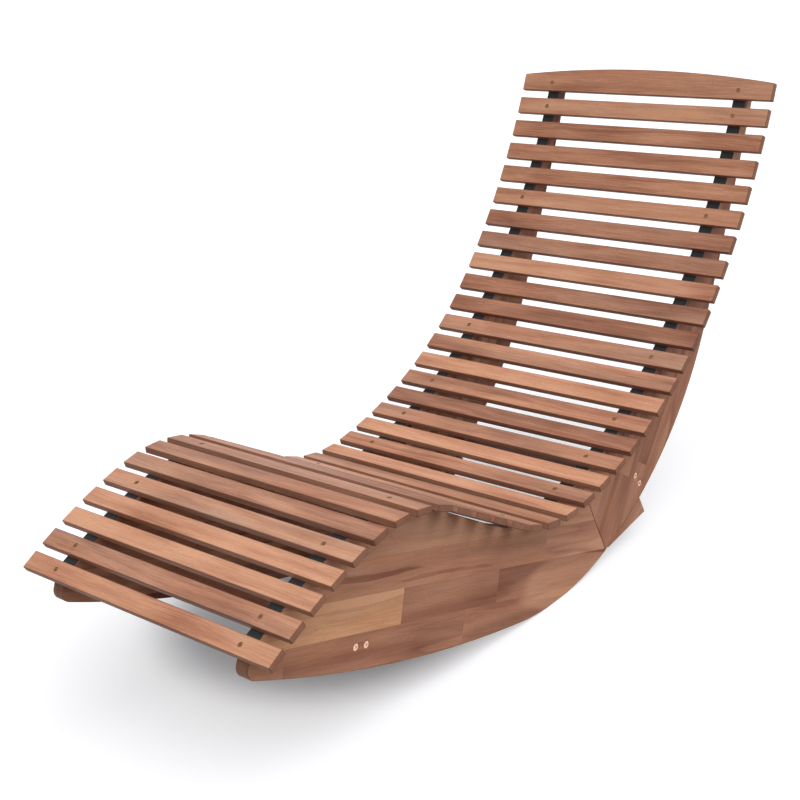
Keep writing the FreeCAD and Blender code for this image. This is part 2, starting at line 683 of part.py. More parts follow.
seam_middle = ((seam_top[0] + seam_bottom[0]) / 2, (seam_top[1] + seam_bottom[1]) / 2)
across_seam = 90 - size["seam_angle"]
dowel_drills = {"left": [], "right": []}
dowels = []
for name, side in SIDES:
    for number in (-1, 0, 1):
        place = move(seam_middle, 180 - size["seam_angle"], number * size["dowel_step"])
        base = move(place, across_seam, -size["dowel_length"] / 2)
        along = unit(across_seam)
        direction = FreeCAD.Vector(0, along[0], along[1])
        start = in_space(side * size["panel_spread"] / 2, base)
        tag = "%s_%d" % (name, number + 2)
        dowels.append(drill("dowel_" + tag, start, direction,
                            "sizes.dowel_diameter / 2", "sizes.dowel_length"))
        drill_start = start - direction * size["hole_clearance"]
        dowel_drills[name].append(drill("dowel_drill_" + tag, drill_start, direction,
                                        "sizes.dowel_diameter / 2 + sizes.hole_clearance / 2",
                                        "sizes.dowel_length + 2 * sizes.hole_clearance"))
dowel_group = doc.addObject("Part::Compound", "group_seam_dowels")
dowel_group.Links = dowels
keep(dowel_group, "seam_dowels")


# Side panels, tail blocks and straps

strap_lead = math.degrees(size["strap_end"] / size["foot_radius"])
strap_tail = math.degrees(size["head_end"] / size["head_radius"])


def strap_side(depth):
    sides = [piece.offset(depth) for piece in mat_curve]
    sides[0] = sides[0].trimmed(first=sides[0].first_angle + strap_lead)
    sides[-1] = sides[-1].trimmed(last=sides[-1].last_angle + strap_tail)
    return sides


strap_top = strap_side(size["slat_thickness"])
strap_bottom = strap_side(PANEL_DEPTH)
CURVE_RADII = ("foot_radius", "crest_radius", None, "dip_radius", "seat_radius", "head_radius")


def strap_entry(piece, radius_name, layers, backward):
    if piece.bend == 0:
        ends = piece.ends()
        return (ends[::-1] if backward else ends, None, False)
    sign = "+" if piece.bend > 0 else "-"
    formula = "sizes.%s %s %s" % (radius_name, sign, layers)
    return (piece, formula, backward)


STRAP_OUTLINE = [strap_entry(piece, name, "sizes.slat_thickness", False)
                 for piece, name in zip(strap_top, CURVE_RADII)]
STRAP_OUTLINE.append(((strap_top[-1].ends()[1], strap_bottom[-1].ends()[1]), None, False))
STRAP_OUTLINE += [strap_entry(piece, name, DEPTH_FORMULA, True)
                  for piece, name in reversed(list(zip(strap_bottom, CURVE_RADII)))]
STRAP_OUTLINE.append(((strap_bottom[0].ends()[0], strap_top[0].ends()[0]), None, False))

for name, side in SIDES:
    base_blank = blank_body(name + "_base_panel")
    plate = make_plate(base_blank, BASE_OUTLINE, panel_x(side), "sizes.panel_thickness")
    ease_edges(base_blank, plate, "sizes.panel_rounding")
    drilled(name + "_base_panel", base_blank, screw_drills[name] + bolt_drills[name] + dowel_drills[name])
    back_blank = blank_body(name + "_back_panel")
    plate = make_plate(back_blank, BACK_OUTLINE, panel_x(side), "sizes.panel_thickness")
    ease_edges(back_blank, plate, "sizes.panel_rounding")
    drilled(name + "_back_panel", back_blank, screw_drills[name] + bolt_drills[name] + dowel_drills[name])
    tail = new_body(name + "_tail_block")
    plate = make_plate(tail, TAIL_OUTLINE, panel_x(side), "sizes.panel_thickness")
    ease_edges(tail, plate, "sizes.panel_rounding")
    strap_blank = blank_body(name + "_strap")
    strap_formula = "sizes.panel_spread / 2 * %d - sizes.strap_width / 2" % side
    make_plate(strap_blank, STRAP_OUTLINE, strap_formula, "sizes.strap_width")
    drilled(name + "_strap", strap_blank, screw_drills[name])

doc.recompute()


# Check and export

os.makedirs("parts", exist_ok=True)
for item in doc.Objects:
    if "Invalid" in item.State or "Error" in item.State:
        raise RuntimeError("%s does not rebuild: %s" % (item.Label, item.State))
for node in nodes:
    if node.Shape.isNull() or not node.Shape.isValid():
        raise RuntimeError(node.Label + " has no valid shape")
for node in nodes:
    node.Shape.exportStep("parts/%s.step" % node.Label)
print("%d nodes written" % len(nodes))
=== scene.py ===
"""A slatted rocking chaise lounge in oiled acacia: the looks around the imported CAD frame.

Metres, +Z up. The foot end lies toward -Y, the head end toward +Y, and the rockers stand at X = +-0.225.
"""

import math
import random

import bmesh
import bpy
from mathutils import Matrix, Vector


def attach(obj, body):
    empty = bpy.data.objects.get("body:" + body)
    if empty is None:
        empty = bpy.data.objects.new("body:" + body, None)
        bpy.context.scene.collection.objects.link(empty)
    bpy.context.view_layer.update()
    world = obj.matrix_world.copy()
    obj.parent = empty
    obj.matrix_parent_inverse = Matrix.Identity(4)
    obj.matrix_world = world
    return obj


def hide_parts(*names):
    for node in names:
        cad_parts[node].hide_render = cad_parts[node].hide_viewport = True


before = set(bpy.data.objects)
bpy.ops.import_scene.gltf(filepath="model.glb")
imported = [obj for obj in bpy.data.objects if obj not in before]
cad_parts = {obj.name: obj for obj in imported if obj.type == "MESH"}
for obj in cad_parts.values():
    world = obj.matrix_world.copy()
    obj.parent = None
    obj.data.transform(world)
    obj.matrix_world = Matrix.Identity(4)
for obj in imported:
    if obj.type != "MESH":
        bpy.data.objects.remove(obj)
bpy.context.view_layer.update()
MM = 0.001


# Camera, where the photographer stood: its place, its right and its up, and a lens for a 36 mm sensor

CAMERA_PLACE = (1.7675, -1.8889, 1.4295)
CAMERA_RIGHT = (0.73986, 0.66077, -0.12653)
CAMERA_UP = (-0.16958, 0.36517, 0.91537)
CAMERA_LENS = 68.40
SENSOR_WIDTH = 36.0


def aim_camera():
    data = bpy.data.cameras.new("photo_camera")
    data.sensor_fit = "HORIZONTAL"
    data.sensor_width = SENSOR_WIDTH
    data.lens = CAMERA_LENS
    data.clip_end = 100.0
    camera = bpy.data.objects.new("photo_camera", data)
    right = Vector(CAMERA_RIGHT).normalized()
    back = right.cross(Vector(CAMERA_UP)).normalized()
    up = back.cross(right)
    turn = Matrix((right, up, back)).transposed()
    camera.matrix_world = Matrix.Translation(CAMERA_PLACE) @ turn.to_4x4()
    bpy.context.scene.collection.objects.link(camera)
    bpy.context.scene.camera = camera


aim_camera()


# Small tools

def linear(code):
    """A colour written in sRGB hex, as the linear values that a shader takes."""
    parts = [int(code[index:index + 2], 16) / 255 for index in (1, 3, 5)]
    return tuple(p / 12.92 if p <= 0.04045 else ((p + 0.055) / 1.055) ** 2.4 for p in parts) + (1.0,)


def add(tree, kind, *values, named=None, **settings):
    """Adds a node with its settings. Values fill its sockets in order, and None leaves one as it is. Named
    gives other sockets by their name or number."""
    node = tree.nodes.new(kind)
    for name, value in settings.items():
        setattr(node, name, value)
    wanted = {index: value for index, value in enumerate(values) if value is not None}
    wanted.update(named or {})
    for key, value in wanted.items():
        socket = node.inputs[key]
        if isinstance(value, bpy.types.NodeSocket):
            tree.links.new(value, socket)
        else:
            socket.default_value = value
    return node


def new_material(name):
    """An empty material with its output and its main shader, the shader linked."""
    material = bpy.data.materials.new(name)
    material.use_nodes = True
    tree = material.node_tree
    tree.nodes.clear()
    shader = add(tree, "ShaderNodeBsdfPrincipled")
    add(tree, "ShaderNodeOutputMaterial", shader.outputs[0])
    return material, tree, shader


def new_piece(name, mesh):
    piece = bpy.data.objects.new(name, mesh)
    bpy.context.scene.collection.objects.link(piece)
    return piece


def plain_mesh(piece):
    """The piece's evaluated shape as a mesh of its own, without its modifiers."""
    graph = bpy.context.evaluated_depsgraph_get()
    mesh = bpy.data.meshes.new_from_object(piece.evaluated_get(graph), preserve_all_data_layers=True,
                                           depsgraph=graph)
    piece.modifiers.clear()
    return mesh


def crisp(piece, angle=40.0):
    """Flat faces look flat and rounded edges look round. Faces that meet at more than the angle, in degrees,
    keep a sharp edge."""
    piece.data.shade_smooth()
    piece.data.set_sharp_from_angle(angle=math.radians(angle))
    weigh = piece.modifiers.new("flat_faces_lead", "WEIGHTED_NORMAL")
    weigh.keep_sharp = True
    piece.data = plain_mesh(piece)


def keep(mesh, name, domain, values):
    """Keeps a number or a vector for each point or face of the mesh, under a name."""
    if isinstance(values[0], (int, float)):
        mesh.attributes.new(name, "FLOAT", domain).data.foreach_set("value", values)
    else:
        flat = [part for value in values for part in value]
        mesh.attributes.new(name, "FLOAT_VECTOR", domain).data.foreach_set("vector", flat)


def new_tree(name, sizes):
    """A geometry tree with a named input for each size."""
    tree = bpy.data.node_groups.new(name, "GeometryNodeTree")
    tree.interface.new_socket("Geometry", in_out="INPUT", socket_type="NodeSocketGeometry")
    for size, value in sizes.items():
        kind = "NodeSocketFloat" if isinstance(value, float) else "NodeSocketMaterial"
        tree.interface.new_socket(size, in_out="INPUT", socket_type=kind)
    tree.interface.new_socket("Geometry", in_out="OUTPUT", socket_type="NodeSocketGeometry")
    return tree, add(tree, "NodeGroupInput").outputs


def grow(name, base, tree, sizes):
    """Runs the tree on the base mesh and keeps the result as a plain piece."""
    grower = new_piece(name + "_grower", base)
    modifier = grower.modifiers.new(tree.name, "NODES")
    modifier.node_group = tree
    for socket in tree.interface.items_tree:
        if socket.in_out == "INPUT" and socket.name in sizes:
            modifier[socket.identifier] = sizes[socket.name]
    piece = new_piece(name, plain_mesh(grower))
    bpy.data.objects.remove(grower)
    return piece


def belongs(piece, slot, *nodes):
    """The piece rides with the whole chaise and stands for these nodes. The slot is not used."""
    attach(piece, "root")
    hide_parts(*nodes)


# Wood. Oiled acacia: heartwood from tan to red-brown with darker purplish streaks, and a satin sheen

# The colour at each tone, from the darkest streak to the palest stave
HEARTWOOD = ((0.00, "#5A352B"), (0.22, "#86543F"), (0.45, "#AC745A"), (0.66, "#CD9374"), (0.84, "#DEA888"),
             (0.89, "#DC9D72"), (1.00, "#F2B58A"))
# Darker places: their colour and how much of it they take
PORE = ("#4E2E24", 0.5)
END_GRAIN = ("#7E5340", 0.7)
# Eased edges and the walls of holes and countersinks are darkened towards this colour: painted shade
EDGE_PAINTED_SHADE = "#5A3428"
# Patches where the oil has greyed the wood, and the least that the rest has of it
GREY_BLUSH = "#E0EAF6"
LEAST_BLUSH = 0.25
# Tone and blush of wood that isn't sawn into boards with their own
PLAIN_TONE = 0.45
PLAIN_BLUSH = 0.5
# The fibres wander by a few millimetres, about three times a metre along the grain and twelve across it, and
# the marks' edges wander with them
WANDERS_PER_METRE = (3.2, 12.0, 12.0)
FIBRE_WANDER = (0.0, 26 * MM, 26 * MM)
MARK_WANDER = (60 * MM, 36 * MM, 0.0)
# A mark fades out between these shares of its half size
MARK_FADE = (1.15, 0.85)
# Where a noise goes from none of a pattern to all of it
PORE_LEVELS = (0.66, 0.74)
SAPWOOD_LEVELS = (0.545, 0.575)
BORDER_LEVELS = (0.50, 0.545)
BLUSH_LEVELS = (0.40, 0.64)
# How much darker the sapwood's border is than the heartwood, and how much paler the sapwood than the border
BORDER_DROP = -0.7
SAPWOOD_RISE = 1.7
# How fast the growth rings follow the slow swell, in radians for its full swing
RING_TURNS = 40.0
# Oil lies thin over open wood: the fibres make it duller here and there, and stand 0.15 mm high at most
OIL_ROUGHNESS = 0.41
FIBRE_ROUGHNESS = 0.16
FIBRE_RELIEF = 0.15 * MM
RELIEF_STRENGTH = 0.25


def oiled_acacia(name, sawn, figure, patches, rings, streaks, fibres, sapwood, edges, bands, mirror,
                 marks=()):
    """Planed acacia under oil, which gives a soft sheen that follows the fibres. The grain runs along the
    first coordinate of "grain". "board" moves the pattern for each board, so that no two match, "tone" makes
    a board paler or darker, and "blush" greyer. Wood that isn't sawn into such boards takes its own
    coordinates. Figure, patches, rings, streaks, fibres and sapwood say how strongly each part of the pattern
    shows, edges how dark the eased edges are painted, which is painted shade, bands how many bands of colour
    a metre holds across the grain, and mirror how much the oil mirrors. Marks are single streaks and pale
    places in the figure: where, half their size, and how much paler, or darker below zero."""
    material, tree, shader = new_material(name)
    if sawn:
        own = add(tree, "ShaderNodeAttribute", attribute_name="grain").outputs["Vector"]
        board = add(tree, "ShaderNodeAttribute", attribute_name="board").outputs["Vector"]
        grain = add(tree, "ShaderNodeVectorMath", own, board, operation="ADD").outputs[0]
        shade = add(tree, "ShaderNodeAttribute", attribute_name="tone").outputs["Fac"]
        grey = add(tree, "ShaderNodeAttribute", attribute_name="blush").outputs["Fac"]
    else:
        own = grain = add(tree, "ShaderNodeTexCoord").outputs["Object"]
        shade, grey = PLAIN_TONE, PLAIN_BLUSH

    spot = add(tree, "ShaderNodeVectorMath", grain, WANDERS_PER_METRE, operation="MULTIPLY").outputs[0]
    wander = add(tree, "ShaderNodeTexNoise", spot, None, 1.0, 3.0).outputs["Color"]
    wander = add(tree, "ShaderNodeVectorMath", wander, (0.5, 0.5, 0.5), operation="SUBTRACT").outputs[0]
    grain = add(tree, "ShaderNodeVectorMath", wander, FIBRE_WANDER, grain,
                operation="MULTIPLY_ADD").outputs[0]
    own = add(tree, "ShaderNodeVectorMath", wander, MARK_WANDER, own, operation="MULTIPLY_ADD").outputs[0]

    # How many times a metre each pattern changes along the grain and across it, its detail and its roughness.
    # Streaks lie 3 mm apart. Fibres are 0.1 mm wide: drawn 1 mm wide, to show at this distance. Pores are
    # open dashes 6 mm long and 0.2 mm wide: drawn 0.6 mm wide
    patterns = (
        ("bands", 1.4, bands, 2.0, 0.5),
        ("patches", 5.0, 11.0, 2.0, 0.5),
        ("swell", 1.0, bands * 0.3, 1.0, 0.4),
        ("streaks", 9.0, 330.0, 2.0, 0.62),
        ("fibres", 16.0, 1000.0, 2.0, 0.6),
        ("pores", 150.0, 1700.0, 1.0, 0.5),
        ("border", 1.5, bands * 0.55, 2.0, 0.5),
        ("blush", 2.6, 24.0, 2.0, 0.5),
    )
    seen = {}
    for pattern, along, across, detail, rough in patterns:
        spot = add(tree, "ShaderNodeVectorMath", grain, (along, across, across),
                   operation="MULTIPLY").outputs[0]
        seen[pattern] = add(tree, "ShaderNodeTexNoise", spot, None, 1.0, detail, rough).outputs["Fac"]
    pores = add(tree, "ShaderNodeMapRange", seen["pores"], *PORE_LEVELS, 0.0, 1.0).outputs[0]
    # Growth rings where the saw met them flat: the contours of a slow swell. Real ones lie 4 to 8 mm apart.
    # These lie two to four times as far, to show at this distance
    swell = add(tree, "ShaderNodeMath", seen["swell"], RING_TURNS, operation="MULTIPLY").outputs[0]
    contour = add(tree, "ShaderNodeMath", swell, operation="SINE").outputs[0]
    # Sapwood comes in with a clear wavy border, which has a dark line on its heartwood side
    pale = add(tree, "ShaderNodeMapRange", seen["border"], *SAPWOOD_LEVELS, 0.0, 1.0).outputs[0]
    line = add(tree, "ShaderNodeMapRange", seen["border"], *BORDER_LEVELS, 0.0, BORDER_DROP).outputs[0]
    line = add(tree, "ShaderNodeMath", pale, SAPWOOD_RISE, line, operation="MULTIPLY_ADD").outputs[0]

    # The tone: each pattern swings it about its own middle
    swings = ((seen["bands"], figure, 0.5), (seen["patches"], patches, 0.5), (contour, rings, 0.0),
              (seen["streaks"], streaks, 0.5), (seen["fibres"], fibres, 0.5), (line, sapwood, 0.0))
    for pattern, depth, middle in swings:
        swing = add(tree, "ShaderNodeMath", pattern, middle, operation="SUBTRACT").outputs[0]
        shade = add(tree, "ShaderNodeMath", swing, depth, shade, operation="MULTIPLY_ADD").outputs[0]
    for middle, half, change in marks:
        away = add(tree, "ShaderNodeVectorMath", own, middle, operation="SUBTRACT").outputs[0]
        away = add(tree, "ShaderNodeVectorMath", away, half, operation="DIVIDE").outputs[0]
        away = add(tree, "ShaderNodeVectorMath", away, operation="LENGTH").outputs["Value"]
        inside = add(tree, "ShaderNodeMapRange", away, *MARK_FADE, 0.0, 1.0,
                     interpolation_type="SMOOTHSTEP").outputs[0]
        shade = add(tree, "ShaderNodeMath", inside, change, shade, operation="MULTIPLY_ADD").outputs[0]

    # The colour of the tone, then the grey blush over it, then the darker places
    ramp = add(tree, "ShaderNodeValToRGB", shade)
    stops = ramp.color_ramp.elements
    stops.remove(stops[0])
    stops[0].position = HEARTWOOD[0][0]
    stops[0].color = linear(HEARTWOOD[0][1])
    for place, code in HEARTWOOD[1:]:
        stops.new(place).color = linear(code)
    blush = add(tree, "ShaderNodeMapRange", seen["blush"], *BLUSH_LEVELS, LEAST_BLUSH, 1.0).outputs[0]
    blush = add(tree, "ShaderNodeMath", blush, grey, operation="MULTIPLY").outputs[0]
    colour = add(tree, "ShaderNodeMix", blush, data_type="RGBA", blend_type="MULTIPLY",
                 named={6: ramp.outputs[0], 7: linear(GREY_BLUSH)}).outputs[2]
    darker = [(pores, *PORE)]
    if sawn:
        ends = add(tree, "ShaderNodeAttribute", attribute_name="end_grain").outputs["Fac"]
        eased = add(tree, "ShaderNodeAttribute", attribute_name="arris").outputs["Fac"]
        # End grain is darker wood. The eased edges get painted shade
        darker += [(ends, *END_GRAIN), (eased, EDGE_PAINTED_SHADE, edges)]
    for where, code, strength in darker:
        share = add(tree, "ShaderNodeMath", where, strength, operation="MULTIPLY").outputs[0]
        colour = add(tree, "ShaderNodeMix", share, data_type="RGBA",
                     named={6: colour, 7: linear(code)}).outputs[2]
    tree.links.new(colour, shader.inputs["Base Color"])

    shader.inputs["Specular IOR Level"].default_value = mirror
    rough = add(tree, "ShaderNodeMath", seen["fibres"], FIBRE_ROUGHNESS, OIL_ROUGHNESS,
                operation="MULTIPLY_ADD").outputs[0]
    tree.links.new(rough, shader.inputs["Roughness"])
    height = add(tree, "ShaderNodeMath", pores, -1.0, seen["fibres"], operation="MULTIPLY_ADD").outputs[0]
    bump = add(tree, "ShaderNodeBump",
               named={"Strength": RELIEF_STRENGTH, "Distance": FIBRE_RELIEF, "Height": height})
    tree.links.new(bump.outputs[0], shader.inputs["Normal"])
    return material


# Marks along the staves of the near base panel, as in the photo: middle and half size in metres, and the
# change of tone. They go right through the panel
THROUGH = 9.0
NEAR_BASE_MARKS = (
    # Paler wood towards the back
    ((0.020, 0.030, 0.0), (0.145, 0.048, THROUGH), 0.25),
    # Dark streaks
    ((-0.540, 0.106, 0.0), (0.120, 0.005, THROUGH), -0.24),
    ((-0.350, 0.088, 0.0), (0.120, 0.004, THROUGH), -0.18),
    ((-0.450, 0.209, 0.0), (0.090, 0.006, THROUGH), -0.20),
)

SLAT_WOOD = oiled_acacia(
    "oiled_acacia_slats", sawn=True, figure=0.30, patches=0.55, rings=0.045, streaks=0.38, fibres=0.34,
    sapwood=0.03, edges=0.46, bands=60.0, mirror=0.15)
PANEL_WOOD = oiled_acacia(
    "oiled_acacia_glued_board", sawn=True, figure=0.50, patches=0.40, rings=0.050, streaks=0.24, fibres=0.20,
    sapwood=0.14, edges=0.40, bands=26.0, mirror=0.15)
NEAR_BASE_WOOD = oiled_acacia(
    "oiled_acacia_near_base", sawn=True, figure=0.40, patches=0.35, rings=0.050, streaks=0.24, fibres=0.20,
    sapwood=0.10, edges=0.45, bands=26.0, mirror=0.15, marks=NEAR_BASE_MARKS)
STRETCHER_WOOD = oiled_acacia(
    "oiled_acacia_stretchers", sawn=False, figure=0.30, patches=0.40, rings=0.030, streaks=0.40, fibres=0.25,
    sapwood=0.03, edges=0.0, bands=50.0, mirror=0.2)


# Slats

SLAT_COUNT = 35
SLAT_SIZES = {"Length": 600 * MM, "Width": 35 * MM, "Thickness": 12 * MM, "Rounding": 1.5 * MM,
              "Arch rise": 17 * MM, "Screw spread": 450 * MM, "Hole radius": 2.2 * MM,
              "Sink radius": 4.7 * MM, "Sink depth": 3.6 * MM, "Wood": SLAT_WOOD}
# Slats with a screw over each rocker, counted from the foot end
SCREWED_SLATS = (1, 2, 5, 8, 11, 14, 17, 19, 21, 24, 30, 34, 35)
PLAIN, SCREWED, HEAD = range(3)
# Slats that stand out in the photo. The warm ones have little of the grey blush
PALE_SLATS = (3, 4, 16, 22, 27, 34)
DARK_SLATS = (9, 20, 21, 25, 26, 28, 29)
WARM_SLATS = (1, 3, 4, 16, 18, 22, 27, 30, 31, 32, 33, 34, 35)
PALE_TONE, MIDDLE_TONE, DARK_TONE = 0.70, 0.61, 0.49
TONE_SPREAD = 0.06
WARM_BLUSH, FULL_BLUSH = 0.2, 1.0
# Boards come from anywhere within this many metres of the log, so that no two match
LOG_SIZE = 9.0
SLAT_SEED = 11
# Steps round a slat's rounded edges, and sides of its holes
ROUNDING_STEPS = 2
HOLE_SIDES = 24
DRILL_LENGTH = 40 * MM
# How far the countersink's cutter stands out of the slat's face
CUTTER_PROUD = 0.05 * MM
# A face that looks less squarely than this is part of a rounded edge
SQUARE_ENOUGH = 0.98
# Ends drink the most oil and turn darkest, and the slats' long edges are darkened by this share of it
LONG_EDGE_SHARE = 0.5


def slat_name(number):
    return "slat_%02d" % number


def slat_seat(number):
    """The middle of a slat's top face and the slat's lean, from its CAD solid."""
    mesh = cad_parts[slat_name(number)].data
    # The top face is the largest of the flat areas that look up and to neither side
    areas = {}
    for face in mesh.polygons:
        if face.normal.z > 0.1 and abs(face.normal.x) < 0.01:
            key = (round(face.normal.y, 4), round(face.normal.z, 4))
            areas[key] = areas.get(key, 0.0) + face.area
    up = Vector((0.0,) + max(areas, key=areas.get)).normalized()
    along = Vector((0.0, up.z, -up.y))
    lowest = min(vertex.co.dot(along) for vertex in mesh.vertices)
    highest = max(vertex.co.dot(up) for vertex in mesh.vertices)
    return along * (lowest + SLAT_SIZES["Width"] / 2) + up * highest, math.atan2(along.z, along.y)


SLAT_SEATS = [slat_seat(number) for number in range(1, SLAT_COUNT + 1)]


def slat_points():
    """One point for each slat, with its lean, its kind, its tone and where its board lay in the log."""
    draw = random.Random(SLAT_SEED)
    mesh = bpy.data.meshes.new("slat_points")
    mesh.from_pydata([seat for seat, lean in SLAT_SEATS], [], [])
    kinds, tones, boards, greys = [], [], [], []
    for number in range(1, SLAT_COUNT + 1):
        kinds.append(HEAD if number == SLAT_COUNT else SCREWED if number in SCREWED_SLATS else PLAIN)
        middle = PALE_TONE if number in PALE_SLATS else DARK_TONE if number in DARK_SLATS else MIDDLE_TONE
        greys.append(WARM_BLUSH if number in WARM_SLATS else FULL_BLUSH)
        tones.append(middle + draw.uniform(-TONE_SPREAD, TONE_SPREAD))
        boards.append([draw.uniform(0.0, LOG_SIZE) for axis in range(3)])
    keep(mesh, "lean", "POINT", [lean for seat, lean in SLAT_SEATS])
    keep(mesh, "kind", "POINT", kinds)
    keep(mesh, "tone", "POINT", tones)
    keep(mesh, "blush", "POINT", greys)
    keep(mesh, "board", "POINT", boards)
    return mesh


def slat_tree():
    """Each point gets a slat with rounded edges. The head slat's upper edge is arched, and screwed slats
    have countersunk holes over both rockers."""
    tree, size = new_tree("slats", SLAT_SIZES)
    # A cube of unit half sides, with this many vertices along its sides. The outer steps of each side become
    # a rounded edge: inner is how much of a vertex's reach lies on the flat, and rim how much lies beyond
    rows = (25, 9, 7)
    flat_share = tuple((count - 1 - 2 * ROUNDING_STEPS) / (count - 1) for count in rows)
    cube = add(tree, "GeometryNodeMeshCube", (2.0, 2.0, 2.0), *rows).outputs[0]
    spot = add(tree, "GeometryNodeInputPosition").outputs[0]
    half = add(tree, "ShaderNodeCombineXYZ", size["Length"], size["Width"], size["Thickness"]).outputs[0]
    half = add(tree, "ShaderNodeVectorMath", half, None, None, 0.5, operation="SCALE").outputs[0]
    rounding = add(tree, "ShaderNodeCombineXYZ", *[size["Rounding"]] * 3).outputs[0]
    flat_half = add(tree, "ShaderNodeVectorMath", half, rounding, operation="SUBTRACT").outputs[0]
    way = add(tree, "ShaderNodeVectorMath", spot, operation="SIGN").outputs[0]
    reach = add(tree, "ShaderNodeVectorMath", spot, operation="ABSOLUTE").outputs[0]
    inner = add(tree, "ShaderNodeVectorMath", reach, flat_share, operation="MINIMUM").outputs[0]
    rim = add(tree, "ShaderNodeVectorMath", reach, inner, operation="SUBTRACT").outputs[0]
    rim = add(tree, "ShaderNodeVectorMath", rim, tuple(1 - share for share in flat_share),
              operation="DIVIDE").outputs[0]
    inner = add(tree, "ShaderNodeVectorMath", inner, flat_share, operation="DIVIDE").outputs[0]
    inner = add(tree, "ShaderNodeVectorMath", inner, flat_half, operation="MULTIPLY").outputs[0]
    rim = add(tree, "ShaderNodeVectorMath", rim, operation="NORMALIZE").outputs[0]
    eased = add(tree, "ShaderNodeVectorMath", rim, rounding, inner, operation="MULTIPLY_ADD").outputs[0]
    eased = add(tree, "ShaderNodeVectorMath", eased, way, operation="MULTIPLY").outputs[0]
    # The slat hangs under its point, which lies in the middle of the top face
    sunk = add(tree, "ShaderNodeMath", size["Thickness"], -0.5, operation="MULTIPLY").outputs[0]
    sunk = add(tree, "ShaderNodeCombineXYZ", 0.0, 0.0, sunk).outputs[0]
    eased = add(tree, "ShaderNodeVectorMath", eased, sunk, operation="ADD").outputs[0]
    plain = add(tree, "GeometryNodeSetPosition", cube, None, eased).outputs[0]

    # The head slat's arch: a shallow parabola through both ends, highest in the middle
    parts = add(tree, "ShaderNodeSeparateXYZ", spot).outputs
    end = add(tree, "ShaderNodeMath", size["Length"], 0.5, operation="MULTIPLY").outputs[0]
    share = add(tree, "ShaderNodeMath", parts[0], end, operation="DIVIDE").outputs[0]
    drop = add(tree, "ShaderNodeMath", share, 2.0, operation="POWER").outputs[0]
    lift = add(tree, "ShaderNodeMath", 1.0, drop, operation="SUBTRACT").outputs[0]
    lift = add(tree, "ShaderNodeMath", lift, size["Arch rise"], operation="MULTIPLY").outputs[0]
    edge = add(tree, "ShaderNodeMath", size["Width"], 0.5, operation="MULTIPLY").outputs[0]
    edge = add(tree, "ShaderNodeMath", edge, size["Rounding"], operation="SUBTRACT").outputs[0]
    low = add(tree, "ShaderNodeMath", edge, -1.0, operation="MULTIPLY").outputs[0]
    share = add(tree, "ShaderNodeMapRange", parts[1], low, edge, 0.0, 1.0).outputs[0]
    lift = add(tree, "ShaderNodeMath", lift, share, operation="MULTIPLY").outputs[0]
    lift = add(tree, "ShaderNodeCombineXYZ", 0.0, lift, 0.0).outputs[0]
    head = add(tree, "GeometryNodeSetPosition", plain, None, None, lift).outputs[0]

    # Countersunk holes, cut a little above and below the slat
    drills = add(tree, "GeometryNodeJoinGeometry")
    for side in (-0.5, 0.5):
        across = add(tree, "ShaderNodeMath", size["Screw spread"], side, operation="MULTIPLY").outputs[0]
        hole = add(tree, "GeometryNodeMeshCylinder", HOLE_SIDES, 1, 1, size["Hole radius"],
                   DRILL_LENGTH).outputs[0]
        hole_at = add(tree, "ShaderNodeCombineXYZ", across, 0.0, 0.0).outputs[0]
        tree.links.new(add(tree, "GeometryNodeTransform", hole, named={"Translation": hole_at}).outputs[0],
                       drills.inputs[0])
        sink = add(tree, "GeometryNodeMeshCone", HOLE_SIDES, 1, 1, size["Sink radius"], size["Hole radius"],
                   size["Sink depth"]).outputs[0]
        deep = add(tree, "ShaderNodeMath", size["Sink depth"], -1.0, CUTTER_PROUD,
                   operation="MULTIPLY_ADD").outputs[0]
        sink_at = add(tree, "ShaderNodeCombineXYZ", across, 0.0, deep).outputs[0]
        tree.links.new(add(tree, "GeometryNodeTransform", sink, named={"Translation": sink_at}).outputs[0],
                       drills.inputs[0])
    kinds = [plain]
    for blank in (plain, head):
        drilled = add(tree, "GeometryNodeMeshBoolean", operation="DIFFERENCE", solver="EXACT")
        tree.links.new(blank, drilled.inputs[0])
        tree.links.new(drills.outputs[0], drilled.inputs[1])
        drilled.inputs["Self Intersection"].default_value = True
        kinds.append(drilled.outputs[0])

    # Each kind keeps where its wood lay before it is turned, and goes to its own points
    kind = add(tree, "GeometryNodeInputNamedAttribute", "kind", data_type="FLOAT").outputs[0]
    lean = add(tree, "GeometryNodeInputNamedAttribute", "lean", data_type="FLOAT").outputs[0]
    turn = add(tree, "ShaderNodeCombineXYZ", lean, 0.0, 0.0).outputs[0]
    turn = add(tree, "FunctionNodeEulerToRotation", turn).outputs[0]
    facing = add(tree, "GeometryNodeInputNormal").outputs[0]
    facing = add(tree, "ShaderNodeVectorMath", facing, operation="ABSOLUTE").outputs[0]
    facing = add(tree, "ShaderNodeSeparateXYZ", facing).outputs
    squarest = add(tree, "ShaderNodeMath", facing[0], facing[1], operation="MAXIMUM").outputs[0]
    squarest = add(tree, "ShaderNodeMath", squarest, facing[2], operation="MAXIMUM").outputs[0]
    # Faces of the rounded edges, holes and countersinks: the wood darkens these as painted shade
    arris = add(tree, "ShaderNodeMath", squarest, SQUARE_ENOUGH, operation="LESS_THAN").outputs[0]
